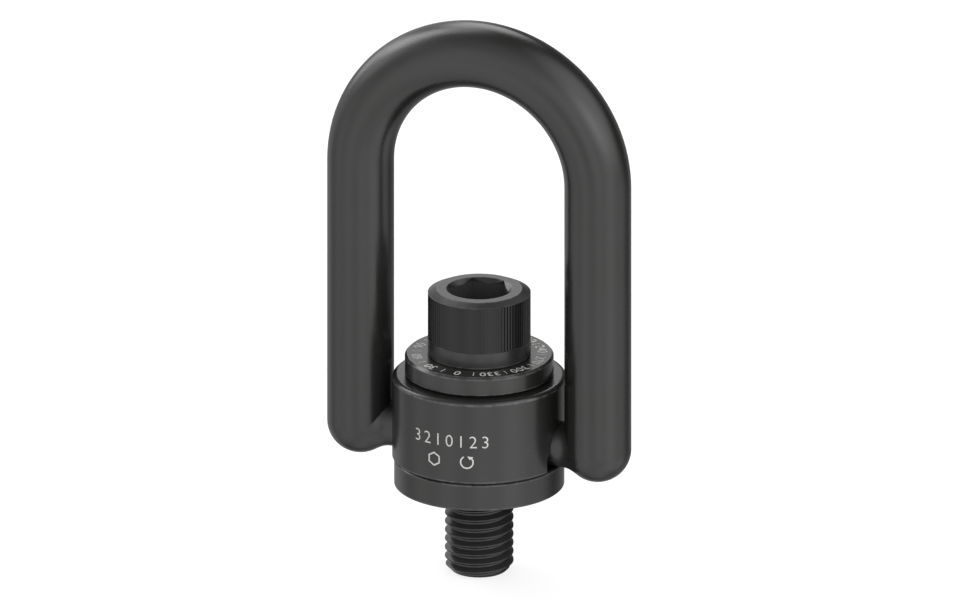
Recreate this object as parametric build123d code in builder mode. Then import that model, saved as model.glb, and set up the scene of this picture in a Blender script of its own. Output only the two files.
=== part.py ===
from build123d import *
import os
from math import atan2, cos, degrees, radians, sqrt, tan

# Swivel hoist ring, in millimetres. +Z is up, and the bail's trunnions lie along X.
# The origin is the centre of the flange's underside, which seats on the load.

# The screw thread, 3/4-10 UNC.
thread_dia = 19.05
thread_pitch = 2.54
thread_depth = 0.6134 * thread_pitch
thread_flank_angle = 30
thread_crest_width = thread_pitch / 8
thread_tip_chamfer = 1.9
ridge_overlap = 0.2

# The bolt, a socket head cap screw.
bolt_length = 63.5
shank_undersize = 0.05
head_dia = 28.57
head_height = 19.05
head_chamfer_width = 2.43
head_chamfer_height = 1.1
head_foot_chamfer = 0.3
head_foot_band = 5.0
knurl_depth = 0.3
under_head_radius = 0.6
socket_across_flats = 15.875
socket_depth = 9.6
socket_mouth_chamfer = 1.26
socket_turn = 2

# The split ring in the bolt's groove, in the flange's counterbore.
ring_height = 3.2
ring_thickness = 1.5
ring_catch = 1.55
ring_split_width = 4.0
ring_side_gap = 0.1
ring_floor_gap = 0.05
ring_rim_gap = 1.2
ring_lift = 0.9
groove_depth = 0.85
groove_land = 0.6

# The flanged bushing.
flange_inset = 0.55
flange_thickness = 7.7
flange_top_chamfer = 0.4
flange_bottom_chamfer = 0.2
sleeve_wall = 4.1
shank_clearance = 0.25
bore_chamfer = 0.5

# The swivel body, free to turn and to float a little between the flange and the washer.
body_dia = 48.3
body_height = 24.2
body_float_gap = 0.2
body_turning_clearance = 0.06
body_top_fillet = 1.3
body_bottom_chamfer = 0.4
body_bore_chamfer = 0.8

# The rating washer.
washer_dia = 41.3
washer_thickness = 5.8
washer_edge_chamfer = 0.6
washer_bore_clearance = 0.15

# The bail.
bar_dia = 18.6
bar_to_body_gap = 1.55
bow_centre_height = 91.0
trunnion_dia = 12.7
trunnion_end_gap = 1.2
trunnion_end_chamfer = 0.6
neck_reach = 3.6
neck_length = 6.1

# The slots for the trunnions, open at the body's underside.
trunnion_clearance = 0.08
slot_mouth_ease = 1.3
slot_mouth_shoulder = 2.0

# Diameters that follow from the sizes above.
shank_dia = thread_dia - 2 * shank_undersize
head_flat_dia = head_dia - 2 * head_chamfer_width
bushing_bore_dia = shank_dia + 2 * shank_clearance
sleeve_dia = bushing_bore_dia + 2 * sleeve_wall
body_bore_dia = sleeve_dia + 2 * body_turning_clearance
flange_dia = body_dia - 2 * flange_inset
washer_bore_dia = shank_dia + 2 * (under_head_radius + washer_bore_clearance)
ring_outer_dia = shank_dia + 2 * ring_catch
counterbore_dia = ring_outer_dia + 2 * ring_rim_gap
bail_leg = (body_dia + bar_dia) / 2 + bar_to_body_gap

# Heights that follow from the sizes above.
body_bottom = flange_thickness + body_float_gap
body_top = body_bottom + body_height
sleeve_top = body_top + body_float_gap
washer_top = sleeve_top + washer_thickness
head_top = washer_top + head_height
bolt_tip = washer_top - bolt_length
trunnion_height = body_bottom + trunnion_dia / 2
counterbore_depth = ring_height + ring_thickness + ring_lift

os.makedirs("parts", exist_ok=True)


def write(part, name):
    """Label a finished piece and write it to its own file."""
    part.label = name
    export_step(part, f"parts/{name}.step")


# Flanged bushing: the base plate and the sleeve that the body turns on, turned in one piece.
with BuildPart() as flange_bushing:
    with BuildSketch(Plane.XZ):
        with BuildLine():
            flange_edge = flange_dia / 2
            sleeve_edge = sleeve_dia / 2
            Polyline(
                (0, 0),
                (flange_edge - flange_bottom_chamfer, 0),
                (flange_edge, flange_bottom_chamfer),
                (flange_edge, flange_thickness - flange_top_chamfer),
                (flange_edge - flange_top_chamfer, flange_thickness),
                (sleeve_edge, flange_thickness),
                (sleeve_edge, sleeve_top - bore_chamfer),
                (sleeve_edge - bore_chamfer, sleeve_top),
                (0, sleeve_top),
                close=True,
            )
        make_face()
    revolve(axis=Axis.Z)
    with Locations(Plane.XY):
        Hole(bushing_bore_dia / 2)
    with BuildSketch(Plane.XY):
        Circle(counterbore_dia / 2)
    extrude(amount=counterbore_depth, mode=Mode.SUBTRACT)
    bore_mouth = flange_bushing.edges().filter_by(GeomType.CIRCLE).group_by(Axis.Z)[-1]
    chamfer(bore_mouth.sort_by(SortBy.RADIUS)[0], bore_chamfer)
write(flange_bushing.part, "flange_bushing")


# Swivel body: a thick ring with two trunnion slots that the flange closes from below.
with BuildPart() as swivel_body:
    with BuildSketch(Plane.XY.offset(body_bottom)):
        Circle(body_dia / 2)
    extrude(amount=body_height)
    rims = swivel_body.edges().filter_by(GeomType.CIRCLE).sort_by(Axis.Z)
    fillet(rims[-1], body_top_fillet)
    rims = swivel_body.edges().filter_by(GeomType.CIRCLE).sort_by(Axis.Z)
    chamfer(rims[0], body_bottom_chamfer)
    with BuildSketch(Plane.XY.offset(body_bottom)):
        Circle(body_bore_dia / 2)
    extrude(amount=body_height, mode=Mode.SUBTRACT)
    bore_ends = swivel_body.faces().filter_by(GeomType.CYLINDER).sort_by(SortBy.RADIUS)[0].edges()
    chamfer(bore_ends.filter_by(GeomType.CIRCLE), body_bore_chamfer)
    slot_edge = trunnion_dia / 2 + trunnion_clearance
    mouth_edge = slot_edge + slot_mouth_ease
    shoulder = trunnion_height - slot_mouth_shoulder
    with BuildSketch(Plane.YZ):
        with Locations((0, trunnion_height)):
            Circle(slot_edge)
        Polygon(
            (-mouth_edge, body_bottom),
            (mouth_edge, body_bottom),
            (mouth_edge, shoulder),
            (slot_edge, shoulder + mouth_edge - slot_edge),
            (slot_edge, trunnion_height),
            (-slot_edge, trunnion_height),
            (-slot_edge, shoulder + mouth_edge - slot_edge),
            (-mouth_edge, shoulder),
            align=None,
        )
    extrude(amount=body_dia, both=True, mode=Mode.SUBTRACT)
write(swivel_body.part, "swivel_body")


# Rating washer, clamped between the bolt's head and the sleeve.
with BuildPart() as top_washer:
    with BuildSketch(Plane.XY.offset(sleeve_top)):
        Circle(washer_dia / 2)
        Circle(washer_bore_dia / 2, mode=Mode.SUBTRACT)
    extrude(amount=washer_thickness)
    rim = top_washer.faces().filter_by(GeomType.CYLINDER).sort_by(SortBy.RADIUS)[-1]
    chamfer(rim.edges().filter_by(GeomType.CIRCLE), washer_edge_chamfer)
write(top_washer.part, "top_washer")


# Bolt, threaded end: a helical ridge on the root cylinder, trimmed to the crest and the tip's chamfer.
groove_bottom = ring_height - ring_side_gap
groove_top = ring_height + ring_thickness + ring_side_gap
thread_top = groove_bottom - groove_land
crest_radius = thread_dia / 2
root_radius = crest_radius - thread_depth
groove_radius = shank_dia / 2 - groove_depth
flank_slope = tan(radians(thread_flank_angle))
ridge_root_half = thread_crest_width / 2 + (thread_depth + ridge_overlap) * flank_slope
ridge_crest_half = thread_crest_width / 2 - ridge_overlap * flank_slope
helix_start = bolt_tip - thread_pitch
with BuildPart() as thread_blank:
    with BuildSketch(Plane.XZ):
        Polygon(
            (0, bolt_tip),
            (crest_radius - thread_tip_chamfer, bolt_tip),
            (crest_radius, bolt_tip + thread_tip_chamfer),
            (crest_radius, thread_top),
            (0, thread_top),
            align=None,
        )
    revolve(axis=Axis.Z)
with BuildPart() as threaded_end:
    with BuildLine() as helix_line:
        Helix(thread_pitch, thread_top - helix_start, crest_radius, center=(0, 0, helix_start))
    with BuildSketch(Plane.XZ):
        Polygon(
            (root_radius - ridge_overlap, helix_start - ridge_root_half),
            (crest_radius + ridge_overlap, helix_start - ridge_crest_half),
            (crest_radius + ridge_overlap, helix_start + ridge_crest_half),
            (root_radius - ridge_overlap, helix_start + ridge_root_half),
            align=None,
        )
    sweep(path=helix_line.wires()[0], is_frenet=True)
    with BuildSketch(Plane.XY.offset(bolt_tip)):
        Circle(root_radius)
    extrude(amount=thread_top - bolt_tip)
    with BuildSketch(Plane.XY.offset(bolt_tip)):
        Circle(crest_radius)
    extrude(amount=thread_top - bolt_tip, mode=Mode.INTERSECT)
    add(thread_blank.part, mode=Mode.INTERSECT)

# Bolt, whole: head with a hexagon socket, plain shank, the split ring's groove and the threaded end.
# The head's side is turned down between its foot band and its rim, where the knurl's ridges stand.
with BuildPart() as bolt:
    with BuildSketch(Plane.XZ):
        with BuildLine():
            shank_edge = shank_dia / 2
            head_edge = head_dia / 2
            fillet_edge = shank_edge + under_head_radius
            Polyline(
                (0, thread_top - thread_depth),
                (root_radius, thread_top - thread_depth),
                (crest_radius, thread_top),
                (crest_radius, groove_bottom),
                (groove_radius, groove_bottom),
                (groove_radius, groove_top),
                (shank_edge, groove_top),
                (shank_edge, washer_top - under_head_radius),
            )
            RadiusArc(
                (shank_edge, washer_top - under_head_radius),
                (fillet_edge, washer_top),
                under_head_radius,
            )
            Polyline(
                (fillet_edge, washer_top),
                (head_edge - head_foot_chamfer, washer_top),
                (head_edge, washer_top + head_foot_chamfer),
                (head_edge, washer_top + head_foot_band - knurl_depth),
                (head_edge - knurl_depth, washer_top + head_foot_band),
                (head_edge - knurl_depth, head_top - head_chamfer_height - knurl_depth),
                (head_edge, head_top - head_chamfer_height),
                (head_flat_dia / 2, head_top),
                (0, head_top),
                (0, thread_top - thread_depth),
            )
        make_face()
    revolve(axis=Axis.Z)
    with BuildSketch(Plane.XY.offset(head_top)):
        RegularPolygon(socket_across_flats / 2, 6, major_radius=False, rotation=socket_turn)
    extrude(amount=-socket_depth, mode=Mode.SUBTRACT)
    with BuildSketch(Plane.XY.offset(head_top)):
        Circle(socket_across_flats / 2 + socket_mouth_chamfer)
    extrude(amount=-socket_mouth_chamfer, taper=45, mode=Mode.SUBTRACT)
    add(threaded_end.part)
write(bolt.part, "bolt")


# Split ring: snaps into the bolt's groove and catches under the flange's counterbore.
with BuildPart() as retaining_ring:
    with BuildSketch(Plane.XY.offset(ring_height)):
        Circle(ring_outer_dia / 2)
        Circle(groove_radius + ring_floor_gap, mode=Mode.SUBTRACT)
        with Locations((0, -ring_outer_dia / 2)):
            Rectangle(ring_split_width, ring_outer_dia, mode=Mode.SUBTRACT)
    extrude(amount=ring_thickness)
write(retaining_ring.part, "retaining_ring")


# Bail: a bowed bar with ball ends, and a trunnion necked down from each ball.
bar_radius = bar_dia / 2
trunnion_radius = trunnion_dia / 2
trunnion_end = sleeve_dia / 2 + trunnion_end_gap
neck_ball_radius = sqrt(bar_radius**2 - neck_reach**2)
neck_outer = bail_leg - neck_reach
ball_angle = degrees(atan2(neck_ball_radius, -neck_reach))
neck_inner = neck_outer - neck_length
with BuildPart() as bail:
    with BuildLine() as bail_line:
        right_leg = Line((bail_leg, 0, trunnion_height), (bail_leg, 0, bow_centre_height))
        bow = ThreePointArc(
            (bail_leg, 0, bow_centre_height),
            (0, 0, bow_centre_height + bail_leg),
            (-bail_leg, 0, bow_centre_height),
        )
        left_leg = Line((-bail_leg, 0, bow_centre_height), (-bail_leg, 0, trunnion_height))
    with BuildSketch(Plane.XY.offset(trunnion_height)):
        with Locations((bail_leg, 0)):
            Circle(bar_radius)
    sweep(path=bail_line.wires()[0])
    for side in (1, -1):
        with BuildSketch(Plane((0, 0, trunnion_height), x_dir=(side, 0, 0), z_dir=(0, -side, 0))):
            with BuildLine():
                Polyline(
                    (bail_leg + bar_radius, 0),
                    (trunnion_end, 0),
                    (trunnion_end, trunnion_radius - trunnion_end_chamfer),
                    (trunnion_end + trunnion_end_chamfer, trunnion_radius),
                    (neck_inner, trunnion_radius),
                )
                Spline(
                    (neck_inner, trunnion_radius),
                    (neck_outer, neck_ball_radius),
                    tangents=[(1, 0), (neck_ball_radius, neck_reach)],
                )
                CenterArc((bail_leg, 0), bar_radius, 0, ball_angle)
            make_face()
        revolve(axis=Axis((0, 0, trunnion_height), (1, 0, 0)))
write(bail.part, "bail")
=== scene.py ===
from math import cos, pi, radians, sin

import bmesh
import bpy
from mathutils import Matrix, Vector


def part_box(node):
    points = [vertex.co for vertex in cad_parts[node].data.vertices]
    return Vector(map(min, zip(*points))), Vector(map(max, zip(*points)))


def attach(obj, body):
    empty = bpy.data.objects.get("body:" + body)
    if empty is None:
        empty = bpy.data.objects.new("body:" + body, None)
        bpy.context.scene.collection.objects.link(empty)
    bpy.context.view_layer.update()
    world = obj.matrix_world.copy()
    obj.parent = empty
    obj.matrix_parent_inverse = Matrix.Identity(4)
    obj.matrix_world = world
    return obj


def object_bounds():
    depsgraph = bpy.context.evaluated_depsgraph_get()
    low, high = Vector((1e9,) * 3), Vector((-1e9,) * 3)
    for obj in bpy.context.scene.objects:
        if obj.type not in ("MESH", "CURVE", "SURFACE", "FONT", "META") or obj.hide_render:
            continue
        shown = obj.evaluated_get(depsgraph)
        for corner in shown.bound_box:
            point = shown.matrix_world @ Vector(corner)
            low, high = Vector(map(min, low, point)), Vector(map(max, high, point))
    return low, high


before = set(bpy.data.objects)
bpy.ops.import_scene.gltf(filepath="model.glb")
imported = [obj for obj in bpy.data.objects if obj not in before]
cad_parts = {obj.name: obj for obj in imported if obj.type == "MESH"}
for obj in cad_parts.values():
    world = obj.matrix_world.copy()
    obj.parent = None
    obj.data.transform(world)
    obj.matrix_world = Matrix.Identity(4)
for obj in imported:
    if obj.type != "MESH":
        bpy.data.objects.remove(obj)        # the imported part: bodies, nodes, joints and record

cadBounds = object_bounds()
mm = 0.001


def sizesOf(nodeName):
    low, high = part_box(nodeName)
    return {"radius": (high[0] - low[0]) / 2, "bottom": low[2], "top": high[2]}


boltSizes = sizesOf("bolt")
washerSizes = sizesOf("top_washer")
bodySizes = sizesOf("swivel_body")
flangeSizes = sizesOf("flange_bushing")
print("frame loaded:", len(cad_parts), "nodes")


# Small helpers for node trees.

def newTree(name):
    material = bpy.data.materials.new(name)
    material.use_nodes = True
    tree = material.node_tree
    tree.nodes.clear()
    return material, tree


def plug(tree, socket, value):
    if isinstance(value, bpy.types.NodeSocket):
        tree.links.new(value, socket)
    else:
        socket.default_value = value


def addNode(tree, kind, inputs=None, **settings):
    made = tree.nodes.new(kind)
    for key, value in settings.items():
        setattr(made, key, value)
    for key, value in (inputs or {}).items():
        plug(tree, made.inputs[key], value)
    return made


def calculate(tree, operation, first, second=0.0, third=0.0):
    inputs = {0: first, 1: second}
    if operation == "MULTIPLY_ADD":
        inputs[2] = third
    return addNode(tree, "ShaderNodeMath", inputs, operation=operation).outputs[0]


def noise(tree, vector, scale, detail=3.0, roughness=0.5):
    made = addNode(tree, "ShaderNodeTexNoise",
                   {"Vector": vector, "Scale": scale, "Detail": detail, "Roughness": roughness})
    return made.outputs["Fac"]


def remap(tree, value, low, high, toLow, toHigh):
    made = addNode(tree, "ShaderNodeMapRange",
                   {"Value": value, "From Min": low, "From Max": high, "To Min": toLow, "To Max": toHigh})
    return made.outputs["Result"]


def spreadNoise(tree, value, toLow, toHigh):
    return remap(tree, value, 0.3, 0.7, toLow, toHigh)   # nearly all of a noise lies in this band


def mixColours(tree, factor, first, second):
    made = addNode(tree, "ShaderNodeMix", {"Factor": factor}, data_type="RGBA")
    plug(tree, made.inputs[6], first)
    plug(tree, made.inputs[7], second)
    return made.outputs[2]


def grey(value, olive=0.0):
    return (value, value, value * (1 - olive), 1.0)


# Blackened steels. Each finish belongs to one group of pieces.

def latheCoordinates(tree, place):
    # The height on the bolt's axis, the distance from it, and the two as a point of the turned outline.
    parts = addNode(tree, "ShaderNodeSeparateXYZ", {0: place}).outputs
    flat = addNode(tree, "ShaderNodeCombineXYZ", {"X": parts[0], "Y": parts[1]}).outputs[0]
    reach = addNode(tree, "ShaderNodeVectorMath", {0: flat}, operation="LENGTH").outputs["Value"]
    outline = addNode(tree, "ShaderNodeCombineXYZ", {"X": reach, "Z": parts[2]}).outputs[0]
    return parts[2], reach, outline


def insideSocket(tree, level, reach, socket):
    inside = calculate(tree, "LESS_THAN", reach, socket["radius"])
    for test, limit in (("GREATER_THAN", socket["bottom"]), ("LESS_THAN", socket["top"])):
        inside = calculate(tree, "MULTIPLY", inside, calculate(tree, test, level, limit))
    return inside


def wornEdges(tree, place, outline, rings, wearAndHighlight):
    # Worn metal and a painted highlight, fullest on the nearest of the turned edges, and patchy along it.
    worn = 0.0
    for radius, level in rings:
        gap = addNode(tree, "ShaderNodeVectorMath", {0: outline, 1: (radius, 0.0, level)},
                      operation="DISTANCE").outputs["Value"]
        worn = calculate(tree, "MAXIMUM", remap(tree, gap, 0.0, wearAndHighlight["reach"], 1.0, 0.0), worn)
    patches = noise(tree, place, wearAndHighlight["patchScale"], 3.0, 0.6)
    patches = remap(tree, patches, wearAndHighlight["patchLow"], wearAndHighlight["patchHigh"], wearAndHighlight["least"], 1.0)
    return calculate(tree, "MULTIPLY", calculate(tree, "MULTIPLY", worn, patches), wearAndHighlight["amount"])


def blackSteel(name, look):
    material, tree = newTree(name)
    place = addNode(tree, "ShaderNodeTexCoord").outputs["Object"]
    level, reach, outline = latheCoordinates(tree, place)
    cloud = noise(tree, place, look["cloudScale"], 4.0, 0.55)
    speck = noise(tree, place, look["speckScale"], 2.0, 0.6)
    grain = noise(tree, place, look["grainScale"], 3.0, 0.6)
    base = mixColours(tree, spreadNoise(tree, cloud, 0.0, 1.0),
                      grey(look["dark"], look["olive"]), grey(look["light"]))
    flecks = remap(tree, speck, look["speckLow"], look["speckHigh"], 0.0, look["speckAmount"])
    base = mixColours(tree, flecks, base, grey(look["light"] * look["speckLight"]))
    rough = spreadNoise(tree, cloud, look["roughLow"], look["roughHigh"])
    height = calculate(tree, "MULTIPLY", grain, look["grainHeight"])
    # Painted light: the key socket's inside is painted paler than the steel around it.
    if "socket" in look:
        base = mixColours(tree, insideSocket(tree, level, reach, look["socket"]),
                          base, grey(look["socket"]["colour"]))
    if "lathe" in look:
        lathe = noise(tree, outline, look["lathe"]["scale"], 4.0, 0.7)
        height = calculate(tree, "MULTIPLY_ADD", lathe, look["lathe"]["height"], height)
        streaks = spreadNoise(tree, lathe, -look["lathe"]["roughness"], look["lathe"]["roughness"])
        rough = calculate(tree, "ADD", rough, streaks)
    # Paler turned edges: worn metal and a painted highlight.
    if "edges" in look:
        worn = wornEdges(tree, place, outline, look["edges"], edgeWearAndHighlight)
        base = mixColours(tree, worn, base, grey(edgeWearAndHighlight["colour"]))
    bump = addNode(tree, "ShaderNodeBump", {"Height": height, "Strength": 1.0, "Distance": 1.0})
    shader = addNode(tree, "ShaderNodeBsdfPrincipled", {
        "Base Color": base, "Roughness": rough, "IOR": look["ior"], "Normal": bump.outputs[0],
    })
    addNode(tree, "ShaderNodeOutputMaterial", {"Surface": shader.outputs[0]})
    return material


# Paler turned edges, partly worn metal and partly a painted highlight.
edgeWearAndHighlight = {"reach": 0.45 * mm, "patchScale": 420.0, "patchLow": 0.36, "patchHigh": 0.62, "least": 0.15,
            "amount": 0.75, "colour": 0.13}

# The turned edges that wear and a painted highlight show on, each as its radius and its height.
bodyEdges = [
    (bodySizes["radius"], bodySizes["bottom"] + 0.4 * mm),
    (bodySizes["radius"], bodySizes["top"] - 1.0 * mm),
    (flangeSizes["radius"], flangeSizes["bottom"] + 0.2 * mm),
    (flangeSizes["radius"], bodySizes["bottom"] - 0.6 * mm),
]
washerEdges = [
    (washerSizes["radius"] - 0.6 * mm, washerSizes["top"]),
    (washerSizes["radius"], washerSizes["top"] - 0.6 * mm),
    (washerSizes["radius"], washerSizes["bottom"] + 0.6 * mm),
]
screwEdges = [
    (boltSizes["radius"] - 2.43 * mm, boltSizes["top"]),      # inside and outside of the head's chamfer
    (boltSizes["radius"], boltSizes["top"] - 1.1 * mm),
    (9.2 * mm, boltSizes["top"]),                             # the socket's countersink
    (boltSizes["radius"], washerSizes["top"] + 0.3 * mm),
]
# The key socket's inside gets a paler colour: painted light in the recess.
socketPaintedLight = {"radius": 9.19 * mm, "bottom": boltSizes["top"] - 9.8 * mm, "top": boltSizes["top"] - 1.2 * mm,
             "colour": 0.050}

forged = {"cloudScale": 45.0, "grainScale": 1700.0, "grainHeight": 0.03 * mm, "speckScale": 2600.0,
          "speckLow": 0.62, "speckHigh": 0.80, "speckAmount": 0.35, "speckLight": 1.8,
          "dark": 0.017, "light": 0.021, "olive": 0.10, "roughLow": 0.21, "roughHigh": 0.27, "ior": 1.55}
turned = dict(forged, grainHeight=0.01 * mm, speckAmount=0.2, roughLow=0.22, roughHigh=0.28,
              lathe={"scale": 5200.0, "height": 0.0015 * mm, "roughness": 0.012})
bodyFinish = dict(turned, edges=bodyEdges)
washerFinish = dict(turned, dark=0.019, light=0.023, roughLow=0.20, roughHigh=0.26, edges=washerEdges)
screwFinish = dict(turned, dark=0.024, light=0.030, olive=0.0, ior=1.5, roughLow=0.24, roughHigh=0.32,
                   edges=screwEdges, socket=socketPaintedLight)
ridgeFinish = dict(turned, dark=0.006, light=0.009, olive=0.0, ior=1.42)

forgedSteel = blackSteel("forgedSteel", forged)
turnedSteel = blackSteel("turnedSteel", bodyFinish)
washerSteel = blackSteel("washerSteel", washerFinish)
screwSteel = blackSteel("screwSteel", screwFinish)
ridgeSteel = blackSteel("ridgeSteel", ridgeFinish)


def dress(nodeName, material):
    piece = bpy.data.objects[nodeName]
    for slot in piece.material_slots:
        slot.material = material


dress("bail", forgedSteel)
dress("swivel_body", turnedSteel)
dress("flange_bushing", turnedSteel)
dress("top_washer", washerSteel)
dress("bolt", screwSteel)
dress("retaining_ring", screwSteel)
print("steels dressed")


# Pale paint of the marks, a little worn.

def markPaint(name, look):
    material, tree = newTree(name)
    place = addNode(tree, "ShaderNodeTexCoord").outputs["Object"]
    worn = noise(tree, place, look["wearScale"], 3.0, 0.6)
    bare = remap(tree, worn, look["wearLow"], look["wearHigh"], 0.0, look["wearAmount"])
    base = mixColours(tree, bare, grey(look["pale"], look["cream"]), grey(look["worn"]))
    height = calculate(tree, "MULTIPLY", worn, look["wearDepth"])
    bump = addNode(tree, "ShaderNodeBump", {"Height": height, "Strength": 1.0, "Distance": 1.0})
    shader = addNode(tree, "ShaderNodeBsdfPrincipled", {
        "Base Color": base, "Roughness": spreadNoise(tree, worn, look["roughLow"], look["roughHigh"]),
        "IOR": look["ior"], "Normal": bump.outputs[0],
    })
    addNode(tree, "ShaderNodeOutputMaterial", {"Surface": shader.outputs[0]})
    return material


paint = {"pale": 0.62, "cream": 0.04, "worn": 0.30, "wearAmount": 0.6, "wearScale": 1500.0, "wearLow": 0.50,
         "wearHigh": 0.74, "wearDepth": 0.02 * mm, "roughLow": 0.5, "roughHigh": 0.65, "ior": 1.45}
bodyPaint = markPaint("bodyPaint", paint)
dialPaint = markPaint("dialPaint", dict(paint, pale=0.75, wearAmount=0.7, wearScale=1300.0))


def addPiece(name, mesh, material):
    if not mesh.materials:
        mesh.materials.append(material)
    piece = bpy.data.objects.new(name, mesh)
    bpy.context.scene.collection.objects.link(piece)
    return piece


# Geometry Nodes: a ring of bars, used for the head's knurl and for the dial's divisions.

def barRingTree(name, material):
    tree = bpy.data.node_groups.new(name, "GeometryNodeTree")
    face = tree.interface
    face.new_socket("Geometry", in_out="OUTPUT", socket_type="NodeSocketGeometry")
    kinds = (("Bar Count", "NodeSocketInt"), ("Ring Radius", "NodeSocketFloat"),
             ("Ring Height", "NodeSocketFloat"), ("Start Turn", "NodeSocketFloat"),
             ("Bar Sides", "NodeSocketInt"), ("Section Radius", "NodeSocketFloat"),
             ("Bar Length", "NodeSocketFloat"), ("Bar Lean", "NodeSocketFloat"),
             ("Bar Scale", "NodeSocketVector"), ("Least Size", "NodeSocketFloat"),
             ("Seed", "NodeSocketInt"))
    for label, kind in kinds:
        face.new_socket(label, in_out="INPUT", socket_type=kind)
    given = addNode(tree, "NodeGroupInput").outputs
    count = given["Bar Count"]
    ring = addNode(tree, "GeometryNodePoints", {"Count": count})
    index = addNode(tree, "GeometryNodeInputIndex").outputs[0]
    angle = calculate(tree, "MULTIPLY_ADD", calculate(tree, "DIVIDE", index, count), 2 * pi,
                      given["Start Turn"])
    east = calculate(tree, "MULTIPLY", calculate(tree, "COSINE", angle), given["Ring Radius"])
    north = calculate(tree, "MULTIPLY", calculate(tree, "SINE", angle), given["Ring Radius"])
    spot = addNode(tree, "ShaderNodeCombineXYZ", {"X": east, "Y": north, "Z": given["Ring Height"]})
    plug(tree, ring.inputs["Position"], spot.outputs[0])
    bar = addNode(tree, "GeometryNodeMeshCylinder",
                  {"Vertices": given["Bar Sides"], "Radius": given["Section Radius"],
                   "Depth": given["Bar Length"]})
    share = addNode(tree, "FunctionNodeRandomValue", {2: given["Least Size"], 3: 1.0, "Seed": given["Seed"]},
                    data_type="FLOAT").outputs[1]
    size = addNode(tree, "ShaderNodeVectorMath", {0: given["Bar Scale"], "Scale": share},
                   operation="SCALE").outputs[0]
    turn = addNode(tree, "ShaderNodeCombineXYZ", {"Y": given["Bar Lean"], "Z": angle})
    placed = addNode(tree, "GeometryNodeInstanceOnPoints",
                     {"Points": ring.outputs[0], "Instance": bar.outputs["Mesh"],
                      "Rotation": turn.outputs[0], "Scale": size})
    whole = addNode(tree, "GeometryNodeRealizeInstances", {0: placed.outputs[0]})
    dressed = addNode(tree, "GeometryNodeSetMaterial", {"Geometry": whole.outputs[0]})
    dressed.inputs["Material"].default_value = material
    out = addNode(tree, "NodeGroupOutput")
    tree.links.new(dressed.outputs[0], out.inputs[0])
    return tree


def barRing(name, material, look):
    tree = barRingTree(name + "Nodes", material)
    holder = bpy.data.objects.new(name + "Holder", bpy.data.meshes.new(name + "Holder"))
    bpy.context.scene.collection.objects.link(holder)
    nodes = holder.modifiers.new("bars", "NODES")
    nodes.node_group = tree
    for item in tree.interface.items_tree:
        if item.item_type == "SOCKET" and item.in_out == "INPUT":
            nodes[item.identifier] = look[item.name]
    bpy.context.view_layer.update()
    ready = holder.evaluated_get(bpy.context.evaluated_depsgraph_get())
    mesh = bpy.data.meshes.new_from_object(ready)
    bpy.data.objects.remove(holder)
    mesh.name = name
    return addPiece(name, mesh, material)


# The knurl's ridges stand in the head's turned-down band, their ends buried in its two shoulders.
knurl = {"count": 96, "rootRadius": boltSizes["radius"] - 0.3 * mm,
         "crestRadius": boltSizes["radius"] - 0.015 * mm, "sunk": 0.02 * mm, "halfWidth": 0.66 * mm,
         "bottom": washerSizes["top"] + 4.74 * mm, "top": boltSizes["top"] - 1.14 * mm,
         "sides": 8, "leastSize": 0.985, "seed": 7}
knurlDepth = knurl["crestRadius"] - knurl["rootRadius"] + knurl["sunk"]
knurlRing = barRing("head_knurl", ridgeSteel, {
    "Bar Count": knurl["count"], "Ring Radius": knurl["rootRadius"] - knurl["sunk"],
    "Ring Height": (knurl["bottom"] + knurl["top"]) / 2, "Start Turn": 0.0,
    "Bar Sides": knurl["sides"], "Section Radius": knurlDepth,
    "Bar Length": knurl["top"] - knurl["bottom"], "Bar Lean": 0.0,
    "Bar Scale": (1.0, knurl["halfWidth"] / knurlDepth, 1.0),
    "Least Size": knurl["leastSize"], "Seed": knurl["seed"],
})
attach(knurlRing, "bolt")
print("knurl made:", knurl["count"], "ridges")


# Flat marks, cut and bent onto a round face.

letterShare = 0.729      # how much of the font's size a letter stands
joinGap = 0.0001 * mm    # points this close are one point
cutGap = 0.00001 * mm
sliverGap = 0.002 * mm   # narrower slivers are left by the cuts, and are closed up


def textMesh(words, height, depth, thinner=0.0):
    curve = bpy.data.curves.new("words", "FONT")
    curve.body = words
    curve.size = height / letterShare
    curve.align_x = "CENTER"
    curve.align_y = "CENTER"
    curve.extrude = depth / 2
    curve.offset = thinner
    curve.resolution_u = 3
    holder = bpy.data.objects.new("words", curve)
    bpy.context.scene.collection.objects.link(holder)
    bpy.context.view_layer.update()
    ready = holder.evaluated_get(bpy.context.evaluated_depsgraph_get())
    mesh = bpy.data.meshes.new_from_object(ready)
    bpy.data.objects.remove(holder)
    bpy.data.curves.remove(curve)
    mesh.materials.clear()
    return mesh


def outlineMesh(loops, depth):
    # Each loop is a pair of point lists, the two edges of a band; a closed band repeats its first points.
    shape = bmesh.new()
    for left, right in loops:
        nearSide = [shape.verts.new((x, y, -depth / 2)) for x, y in left]
        farSide = [shape.verts.new((x, y, -depth / 2)) for x, y in right]
        for i in range(len(left) - 1):
            shape.faces.new((nearSide[i], nearSide[i + 1], farSide[i + 1], farSide[i]))
    bmesh.ops.remove_doubles(shape, verts=shape.verts[:], dist=joinGap)
    made = bmesh.ops.extrude_face_region(shape, geom=shape.faces[:])
    raised = [item for item in made["geom"] if isinstance(item, bmesh.types.BMVert)]
    bmesh.ops.translate(shape, verts=raised, vec=(0, 0, depth))
    mesh = bpy.data.meshes.new("outline")
    shape.to_mesh(mesh)
    shape.free()
    return mesh


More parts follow.
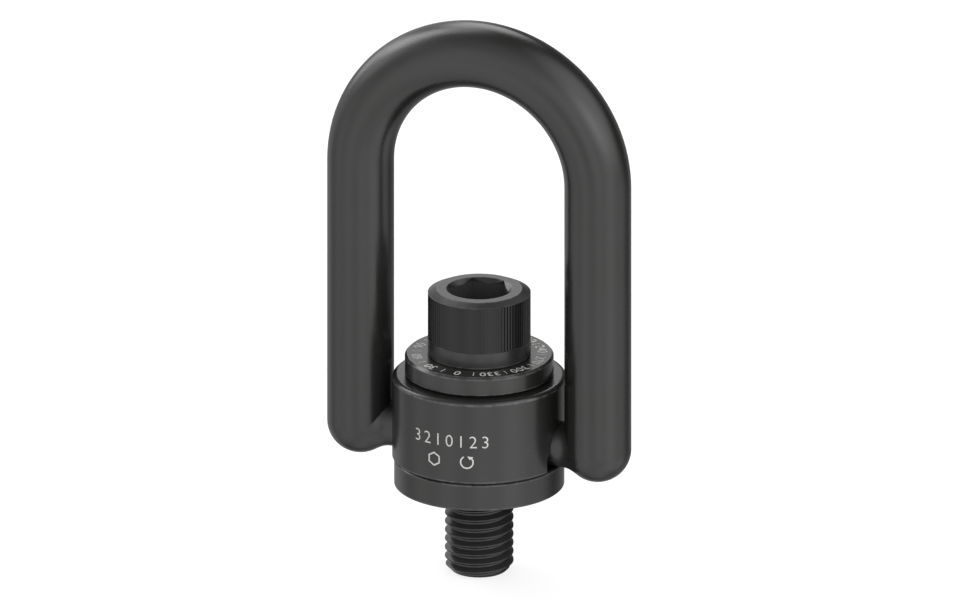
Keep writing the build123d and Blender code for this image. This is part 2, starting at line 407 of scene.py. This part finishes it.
def placeMarks(name, meshes, sliceStep, bend, material):
    # Cut each flat mark into narrow upright slices, bend it into place, and join them all into one mesh.
    whole = bmesh.new()
    for mesh, spot in meshes:
        shape = bmesh.new()
        shape.from_mesh(mesh)
        bpy.data.meshes.remove(mesh)
        bmesh.ops.remove_doubles(shape, verts=shape.verts[:], dist=joinGap)
        reach = max(abs(v.co.x) for v in shape.verts)
        cuts = int(2 * reach / sliceStep) + 1
        for i in range(1, cuts):
            x = -reach + i * 2 * reach / cuts
            bmesh.ops.bisect_plane(shape, geom=shape.verts[:] + shape.edges[:] + shape.faces[:],
                                   dist=cutGap, plane_co=(x, 0, 0), plane_no=(1, 0, 0))
        bmesh.ops.remove_doubles(shape, verts=shape.verts[:], dist=sliverGap)
        for v in shape.verts:
            v.co = bend(v.co, spot)
        part = bpy.data.meshes.new("part")
        shape.to_mesh(part)
        shape.free()
        whole.from_mesh(part)
        bpy.data.meshes.remove(part)
    bmesh.ops.recalc_face_normals(whole, faces=whole.faces[:])
    mesh = bpy.data.meshes.new(name)
    whole.to_mesh(mesh)
    whole.free()
    return addPiece(name, mesh, material)


# Numerals on the washer: a dial that the bail's direction can be read from.
dial = {"step": 30, "height": 2.9 * mm, "centreRadius": 17.35 * mm, "depth": 0.06 * mm, "proud": 0.02 * mm,
        "sliceStep": 1.2 * mm, "lineLength": 2.5 * mm, "lineHalfWidth": 0.17 * mm, "lineSides": 4,
        "leastSize": 0.985, "seed": 3}
dialLift = washerSizes["top"] + dial["proud"] - dial["depth"] / 2


def ontoDial(point, turn):
    angle = turn - point.x / dial["centreRadius"]
    reach = dial["centreRadius"] + point.y
    return Vector((reach * cos(angle), reach * sin(angle), dialLift + point.z))


dialNumbers = placeMarks("dial_numbers", [
    (textMesh(str(value), dial["height"], dial["depth"]), radians(-90 - value))
    for value in range(0, 360, dial["step"])
], dial["sliceStep"], ontoDial, dialPaint)
dialLines = barRing("dial_lines", dialPaint, {
    "Bar Count": 360 // dial["step"], "Ring Radius": dial["centreRadius"],
    "Ring Height": dialLift, "Start Turn": radians(dial["step"] / 2 - 90),
    "Bar Sides": dial["lineSides"], "Section Radius": dial["lineHalfWidth"],
    "Bar Length": dial["lineLength"], "Bar Lean": pi / 2,
    "Bar Scale": (dial["depth"] / 2 / dial["lineHalfWidth"], 1.0, 1.0),
    "Least Size": dial["leastSize"], "Seed": dial["seed"],
})
for piece in (dialNumbers, dialLines):
    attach(piece, "washer")
print("dial numbered")


# The body's marks: a swivel scale, a hexagon for the key and an arrow for the turning body.
bodyScale = {
    "radius": bodySizes["radius"], "depth": 0.06 * mm, "proud": 0.02 * mm, "sliceStep": 0.6 * mm,
    "numbers": (3, 2, 1, 0, 1, 2, 3), "height": 3.7 * mm, "rowHeight": 20.2 * mm, "step": 8.1,
    "thinner": -0.05 * mm,
    "hexagon": {"turn": -11, "rise": 14.4 * mm, "size": 2.1 * mm, "line": 0.42 * mm},
    "arrow": {"turn": 12, "rise": 14.5 * mm, "radius": 1.75 * mm, "line": 0.42 * mm, "start": -240,
              "headStart": 40, "tip": 85, "tipWidth": 0.01 * mm, "headWidth": 3.2, "overlap": 0.5,
              "steps": 28},
}


def ontoBody(point, spot):
    turn, rise = spot
    angle = radians(turn - 90) + point.x / bodyScale["radius"]
    reach = bodyScale["radius"] + bodyScale["proud"] - bodyScale["depth"] / 2 + point.z
    return Vector((reach * cos(angle), reach * sin(angle), rise + point.y))


def polar(radius, angle):
    return radius * cos(radians(angle)), radius * sin(radians(angle))


def ringPoints(radius, first, last, count):
    return [polar(radius, first + (last - first) * i / count) for i in range(count + 1)]


def hexagonMark(look, depth):
    inside = look["size"] - look["line"] / cos(radians(30))
    return outlineMesh([(ringPoints(look["size"], 30, 390, 6), ringPoints(inside, 30, 390, 6))], depth)


def arrowMark(look, depth):
    radius, half = look["radius"], look["line"] / 2
    # The arc ends just inside the arrowhead, so that the two share no corner.
    sweep = (look["start"], look["headStart"] + look["overlap"], look["steps"])
    arc = (ringPoints(radius + half, *sweep), ringPoints(radius - half, *sweep))
    tipX, tipY = polar(radius, look["tip"])
    barb = look["headWidth"] * half
    outer = [polar(radius + barb, look["headStart"]), (tipX, tipY)]
    inner = [polar(radius - barb, look["headStart"]), (tipX, tipY - look["tipWidth"])]
    return outlineMesh([arc, (outer, inner)], depth)


def bodyMarkMeshes(look):
    middle = (len(look["numbers"]) - 1) / 2
    marks = []
    for i, number in enumerate(look["numbers"]):
        digit = textMesh(str(number), look["height"], look["depth"], look["thinner"])
        marks.append((digit, ((i - middle) * look["step"], look["rowHeight"])))
    for shape, made in (("hexagon", hexagonMark), ("arrow", arrowMark)):
        marks.append((made(look[shape], look["depth"]), (look[shape]["turn"], look[shape]["rise"])))
    return marks


bodyMarks = placeMarks("body_marks", bodyMarkMeshes(bodyScale), bodyScale["sliceStep"], ontoBody, bodyPaint)
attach(bodyMarks, "swivel")
print("body marked")


# Camera, floor and light.

camera = {"azimuth": 20.2, "elevation": 20.0, "frameWidth": 265.9 * mm, "distance": 1.2,
          "aimHeight": 53.65 * mm, "aimRight": 0.21 * mm}


def wayTo(azimuth, elevation):
    turn, lift = radians(azimuth), radians(elevation)
    return Vector((sin(turn) * cos(lift), -cos(turn) * cos(lift), sin(lift)))


def addCamera(look):
    turn = radians(look["azimuth"])
    away = wayTo(look["azimuth"], look["elevation"])
    right = Vector((cos(turn), sin(turn), 0.0))
    aim = Vector((0.0, 0.0, look["aimHeight"])) + right * look["aimRight"]
    data = bpy.data.cameras.new("camera")
    data.type = "ORTHO"
    data.ortho_scale = look["frameWidth"]
    eye = bpy.data.objects.new("camera", data)
    eye.location = aim + away * look["distance"]
    eye.rotation_euler = (-away).to_track_quat("-Z", "Y").to_euler()
    bpy.context.scene.collection.objects.link(eye)
    bpy.context.scene.camera = eye


floorLook = {"size": 6.0, "paper": 0.35, "glow": 0.75, "rough": 0.9, "gloss": 0.1}


def addFloor(look):
    half = look["size"] / 2
    z = cadBounds[0][2]
    mesh = bpy.data.meshes.new("floor")
    mesh.from_pydata([(-half, -half, z), (half, -half, z), (half, half, z), (-half, half, z)],
                     [], [(0, 1, 2, 3)])
    floor = bpy.data.objects.new("floor", mesh)
    bpy.context.scene.collection.objects.link(floor)
    material, tree = newTree("floorPaper")
    shader = addNode(tree, "ShaderNodeBsdfPrincipled", {
        "Base Color": grey(look["paper"]), "Roughness": look["rough"], "Specular IOR Level": look["gloss"],
        "Emission Color": grey(1.0), "Emission Strength": look["glow"],
    })
    addNode(tree, "ShaderNodeOutputMaterial", {"Surface": shader.outputs[0]})
    mesh.materials.append(material)
    floor.visible_glossy = False   # the steel mirrors the studio's sky all round, not the paper
    floor.visible_diffuse = False
    material.cycles.emission_sampling = "NONE"


# Soft lobes of light in degrees, as azimuth from the front towards the right, elevation and half width,
# and then the level. The dimmer works on them all.
sky = {"base": 0.02, "dimmer": 0.94, "lobes": {
    "rim strips behind": [(255, 38, 20, 3.9), (200, 40, 22, 3.3), (235, 55, 20, 2.3), (242, 17, 20, 2.2),
                          (212, 14, 22, 0.5), (225, 35, 20, 0.2)],
    "left fill": [(275, 25, 22, 1.3), (315, 5, 48, 0.5), (270, 35, 48, 0.48), (262, 2, 20, 0.27)],
    "right window": [(90, 35, 48, 1.75), (56, 18, 22, 1.05), (45, 5, 48, 0.9), (80, 20, 22, 0.38)],
    "front fill": [(0, 35, 48, 0.55), (0, 5, 48, 0.5), (20, 65, 42, 0.16)],
    "light off the table": [(90, -25, 48, 0.8), (315, -25, 48, 0.46), (270, -25, 48, 0.34),
                            (225, -25, 48, 0.33), (45, -25, 48, 0.28), (180, -25, 48, 0.27),
                            (0, -25, 48, 0.22), (0, -60, 55, 0.7), (90, -60, 55, 0.36)],
}}


def addSky(look):
    world = bpy.data.worlds.new("studio")
    bpy.context.scene.world = world
    world.use_nodes = True
    tree = world.node_tree
    tree.nodes.clear()
    way = addNode(tree, "ShaderNodeTexCoord").outputs["Generated"]
    total = look["base"]
    for azimuth, elevation, width, level in sum(look["lobes"].values(), []):
        toward = addNode(tree, "ShaderNodeVectorMath", {0: way, 1: wayTo(azimuth, elevation)},
                         operation="DOT_PRODUCT").outputs["Value"]
        near = addNode(tree, "ShaderNodeMapRange", {
            "Value": toward, "From Min": cos(radians(width)), "From Max": 1.0,
            "To Min": 0.0, "To Max": level * look["dimmer"],
        }, interpolation_type="SMOOTHSTEP").outputs["Result"]
        total = calculate(tree, "ADD", near, total)
    # The camera sees plain white behind the object.
    seen = addNode(tree, "ShaderNodeLightPath").outputs["Is Camera Ray"]
    shown = addNode(tree, "ShaderNodeMix", {0: seen, 2: total, 3: 1.0}, data_type="FLOAT").outputs[0]
    shader = addNode(tree, "ShaderNodeBackground", {"Color": grey(1.0), "Strength": shown})
    addNode(tree, "ShaderNodeOutputWorld", {"Surface": shader.outputs[0]})


addCamera(camera)
addFloor(floorLook)
addSky(sky)
bpy.context.scene.view_settings.view_transform = "Standard"
print("camera, floor and light set")
